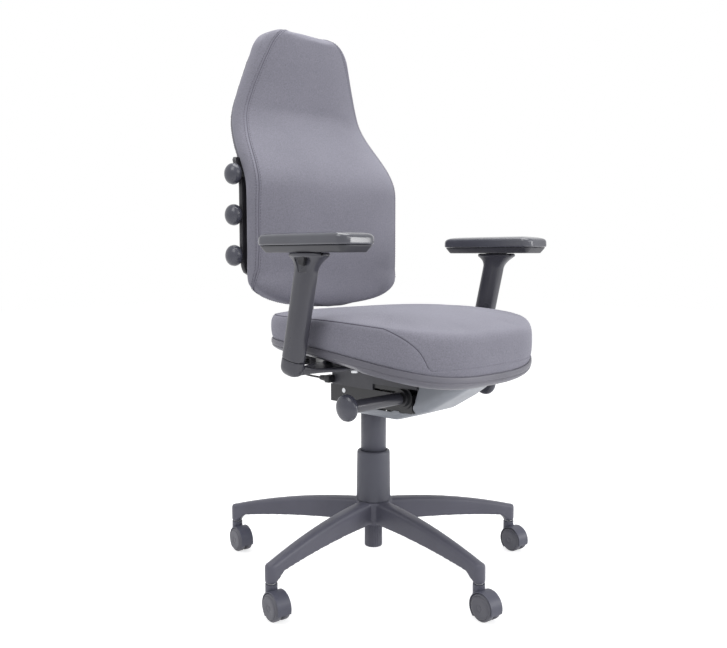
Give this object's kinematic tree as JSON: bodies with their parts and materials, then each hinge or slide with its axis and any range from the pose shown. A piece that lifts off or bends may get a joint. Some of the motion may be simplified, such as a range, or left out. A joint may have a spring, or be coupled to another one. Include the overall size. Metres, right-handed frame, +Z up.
{
  "type": "high back office chair",
  "caption": "High back upholstered office chair with a waisted back, side lumbar knobs, height-adjustable arms, synchronised tilt, gas lift, star base and hooded twin-wheel casters.",
  "frame": {"origin": "point on the floor under the axis of the column", "axes": "+Z up, the chair faces -Y, its left side is +X"},
  "size_m": [0.6616, 0.6761, 1.162],
  "materials": {
    "base_plastic": "fine moulded grain",
    "steel": "zinc plated",
    "black_steel": "satin powder coat",
    "cover_plastic": "fine moulded grain",
    "bowl_plastic": "fine moulded grain",
    "caster_plastic": "satin",
    "wheel_plastic": "satin",
    "knob_plastic": "satin",
    "board_wood": "moulded plywood",
    "shell_plastic": "fine moulded grain",
    "fabric": "close woven wool",
    "black_plastic": "satin",
    "arm_plastic": "fine moulded grain",
    "arm_pad_skin": "smooth soft skin"
  },
  "bodies": {
    "base": {"star_base": "base_plastic", "caster_stems": "steel", "gas_cylinder": "black_steel", "column_lower_cover": "cover_plastic"},
    "caster_1": {"caster_1_body": "caster_plastic"},
    "wheel_1_right": {"caster_1_wheel_right": "wheel_plastic"},
    "wheel_1_left": {"caster_1_wheel_left": "wheel_plastic"},
    "caster_2": {"caster_2_body": "caster_plastic"},
    "wheel_2_right": {"caster_2_wheel_right": "wheel_plastic"},
    "wheel_2_left": {"caster_2_wheel_left": "wheel_plastic"},
    "caster_3": {"caster_3_body": "caster_plastic"},
    "wheel_3_right": {"caster_3_wheel_right": "wheel_plastic"},
    "wheel_3_left": {"caster_3_wheel_left": "wheel_plastic"},
    "caster_4": {"caster_4_body": "caster_plastic"},
    "wheel_4_right": {"caster_4_wheel_right": "wheel_plastic"},
    "wheel_4_left": {"caster_4_wheel_left": "wheel_plastic"},
    "caster_5": {"caster_5_body": "caster_plastic"},
    "wheel_5_right": {"caster_5_wheel_right": "wheel_plastic"},
    "wheel_5_left": {"caster_5_wheel_left": "wheel_plastic"},
    "spindle": {"piston_rod": "steel", "thrust_bearing": "steel"},
    "mechanism": {"pressure_tube": "black_steel", "column_upper_cover": "cover_plastic", "tilt_housing": "black_steel", "housing_cover": "bowl_plastic", "tilt_spring": "steel", "recline_pin": "steel"},
    "valve": {"valve_button": "steel"},
    "tension": {"tension_shaft": "black_steel", "tension_knob": "knob_plastic"},
    "lever": {"height_lever": "black_steel", "height_knob": "knob_plastic"},
    "tilt": {"tilt_plate": "black_steel"},
    "seat": {"slide_carriage": "black_steel", "seat_board": "board_wood", "seat_shell": "shell_plastic", "seat_cushion": "fabric", "slide_cable": "black_plastic", "seat_screws": "steel", "right_arm_bracket": "arm_plastic", "left_arm_bracket": "arm_plastic"},
    "trigger": {"slide_trigger": "black_plastic"},
    "upright": {"back_upright": "black_steel"},
    "back": {"back_slider": "black_plastic", "back_board": "board_wood", "back_shell": "shell_plastic", "back_cushion": "fabric", "knob_strip": "black_plastic", "back_screws": "steel"},
    "knob_bottom": {"lumbar_knob_bottom": "knob_plastic"},
    "knob_middle": {"lumbar_knob_middle": "knob_plastic"},
    "knob_top": {"lumbar_knob_top": "knob_plastic"},
    "right_arm": {"right_arm_upright": "arm_plastic"},
    "right_button": {"right_arm_button": "black_plastic"},
    "right_pad": {"right_arm_pad_base": "black_plastic", "right_arm_pad": "arm_pad_skin"},
    "left_arm": {"left_arm_upright": "arm_plastic"},
    "left_button": {"left_arm_button": "black_plastic"},
    "left_pad": {"left_arm_pad_base": "black_plastic", "left_arm_pad": "arm_pad_skin"}
  },
  "joints": [
    {"name": "seat_swivel", "type": "hinge", "parent": "base", "child": "spindle", "pos_m": [0, 0, 0.05], "axis": [0, 0, 1], "continuous": true},
    {"name": "height_lift", "type": "slide", "parent": "spindle", "child": "mechanism", "axis": [0, 0, 1], "range_m": [-0.065, 0.035]},
    {"name": "recline", "type": "hinge", "parent": "mechanism", "child": "upright", "pos_m": [0, 0.034, 0.384], "axis": [-1, 0, 0], "range_deg": [0, 20]},
    {"name": "seat_tilt", "type": "hinge", "parent": "mechanism", "child": "tilt", "pos_m": [0, -0.137, 0.389], "axis": [-1, 0, 0], "range_deg": [0, 8]},
    {"name": "seat_slide", "type": "slide", "parent": "tilt", "child": "seat", "axis": [0, -1, 0], "range_m": [0, 0.05]},
    {"name": "back_height", "type": "slide", "parent": "upright", "child": "back", "axis": [0, 0, 1], "range_m": [0, 0.06]},
    {"name": "tension_turn", "type": "hinge", "parent": "mechanism", "child": "tension", "pos_m": [-0.1, -0.137, 0.389], "axis": [-1, 0, 0], "range_deg": [-900, 900]},
    {"name": "lever_lift", "type": "hinge", "parent": "mechanism", "child": "lever", "pos_m": [0.0615, -0.137, 0.389], "axis": [0, -1, 0], "range_deg": [0, 6], "stiffness_Nm_per_rad": 6, "springref_deg": -6.88},
    {"name": "valve_push", "type": "slide", "parent": "mechanism", "child": "valve", "axis": [0, 0, -1], "range_m": [0, 0.0048]},
    {"name": "trigger_pull", "type": "hinge", "parent": "seat", "child": "trigger", "pos_m": [-0.156, 0.038, 0.454], "axis": [0, 1, 0], "range_deg": [0, 12], "stiffness_Nm_per_rad": 0.4, "springref_deg": -11.46},
    {"name": "lumbar_bottom_turn", "type": "hinge", "parent": "back", "child": "knob_bottom", "pos_m": [-0.215, 0.187, 0.669], "axis": [-1, 0, 0], "range_deg": [-540, 540]},
    {"name": "lumbar_middle_turn", "type": "hinge", "parent": "back", "child": "knob_middle", "pos_m": [-0.215, 0.187, 0.753], "axis": [-1, 0, 0], "range_deg": [-540, 540]},
    {"name": "lumbar_top_turn", "type": "hinge", "parent": "back", "child": "knob_top", "pos_m": [-0.215, 0.187, 0.837], "axis": [-1, 0, 0], "range_deg": [-540, 540]},
    {"name": "right_arm_height", "type": "slide", "parent": "seat", "child": "right_arm", "axis": [0, -0.2233, 0.9748], "range_m": [0, 0.08]},
    {"name": "right_button_press", "type": "slide", "parent": "right_arm", "child": "right_button", "axis": [1, 0, 0], "range_m": [0, 0.003], "stiffness_N_per_m": 500, "springref_m": -0.004},
    {"name": "right_pad_slide", "type": "slide", "parent": "right_arm", "child": "right_pad", "axis": [0, -1, 0], "range_m": [-0.02, 0.02]},
    {"name": "left_arm_height", "type": "slide", "parent": "seat", "child": "left_arm", "axis": [0, -0.2233, 0.9748], "range_m": [0, 0.08]},
    {"name": "left_button_press", "type": "slide", "parent": "left_arm", "child": "left_button", "axis": [-1, 0, 0], "range_m": [0, 0.003], "stiffness_N_per_m": 500, "springref_m": -0.004},
    {"name": "left_pad_slide", "type": "slide", "parent": "left_arm", "child": "left_pad", "axis": [0, -1, 0], "range_m": [-0.02, 0.02]},
    {"name": "caster_1_swivel", "type": "hinge", "parent": "base", "child": "caster_1", "pos_m": [-0.05397, -0.32251, 0.06], "axis": [0, 0, 1], "continuous": true},
    {"name": "wheel_1_right_roll", "type": "hinge", "parent": "caster_1", "child": "wheel_1_right", "pos_m": [-0.05648, -0.34034, 0.026], "axis": [0.9903, -0.1392, 0], "continuous": true},
    {"name": "wheel_1_left_roll", "type": "hinge", "parent": "caster_1", "child": "wheel_1_left", "pos_m": [-0.05648, -0.34034, 0.026], "axis": [0.9903, -0.1392, 0], "continuous": true},
    {"name": "caster_2_swivel", "type": "hinge", "parent": "base", "child": "caster_2", "pos_m": [0.29005, -0.15099, 0.06], "axis": [0, 0, 1], "continuous": true},
    {"name": "wheel_2_right_roll", "type": "hinge", "parent": "caster_2", "child": "wheel_2_right", "pos_m": [0.28755, -0.16882, 0.026], "axis": [0.9903, -0.1392, 0], "continuous": true},
    {"name": "wheel_2_left_roll", "type": "hinge", "parent": "caster_2", "child": "wheel_2_left", "pos_m": [0.28755, -0.16882, 0.026], "axis": [0.9903, -0.1392, 0], "continuous": true},
    {"name": "caster_3_swivel", "type": "hinge", "parent": "base", "child": "caster_3", "pos_m": [0.23323, 0.2292, 0.06], "axis": [0, 0, 1], "continuous": true},
    {"name": "wheel_3_right_roll", "type": "hinge", "parent": "caster_3", "child": "wheel_3_right", "pos_m": [0.23073, 0.21137, 0.026], "axis": [0.9903, -0.1392, 0], "continuous": true},
    {"name": "wheel_3_left_roll", "type": "hinge", "parent": "caster_3", "child": "wheel_3_left", "pos_m": [0.23073, 0.21137, 0.026], "axis": [0.9903, -0.1392, 0], "continuous": true},
    {"name": "caster_4_swivel", "type": "hinge", "parent": "base", "child": "caster_4", "pos_m": [-0.14591, 0.29264, 0.06], "axis": [0, 0, 1], "continuous": true},
    {"name": "wheel_4_right_roll", "type": "hinge", "parent": "caster_4", "child": "wheel_4_right", "pos_m": [-0.14841, 0.27482, 0.026], "axis": [0.9903, -0.1392, 0], "continuous": true},
    {"name": "wheel_4_left_roll", "type": "hinge", "parent": "caster_4", "child": "wheel_4_left", "pos_m": [-0.14841, 0.27482, 0.026], "axis": [0.9903, -0.1392, 0], "continuous": true},
    {"name": "caster_5_swivel", "type": "hinge", "parent": "base", "child": "caster_5", "pos_m": [-0.32341, -0.04833, 0.06], "axis": [0, 0, 1], "continuous": true},
    {"name": "wheel_5_right_roll", "type": "hinge", "parent": "caster_5", "child": "wheel_5_right", "pos_m": [-0.32591, -0.06616, 0.026], "axis": [0.9903, -0.1392, 0], "continuous": true},
    {"name": "wheel_5_left_roll", "type": "hinge", "parent": "caster_5", "child": "wheel_5_left", "pos_m": [-0.32591, -0.06616, 0.026], "axis": [0.9903, -0.1392, 0], "continuous": true}
  ],
  "couplings": [
    {"joint": "seat_tilt", "follows": "recline", "ratio": 0.4},
    {"joint": "valve_push", "follows": "lever_lift", "m_per_rad": 0.0436}
  ]
}
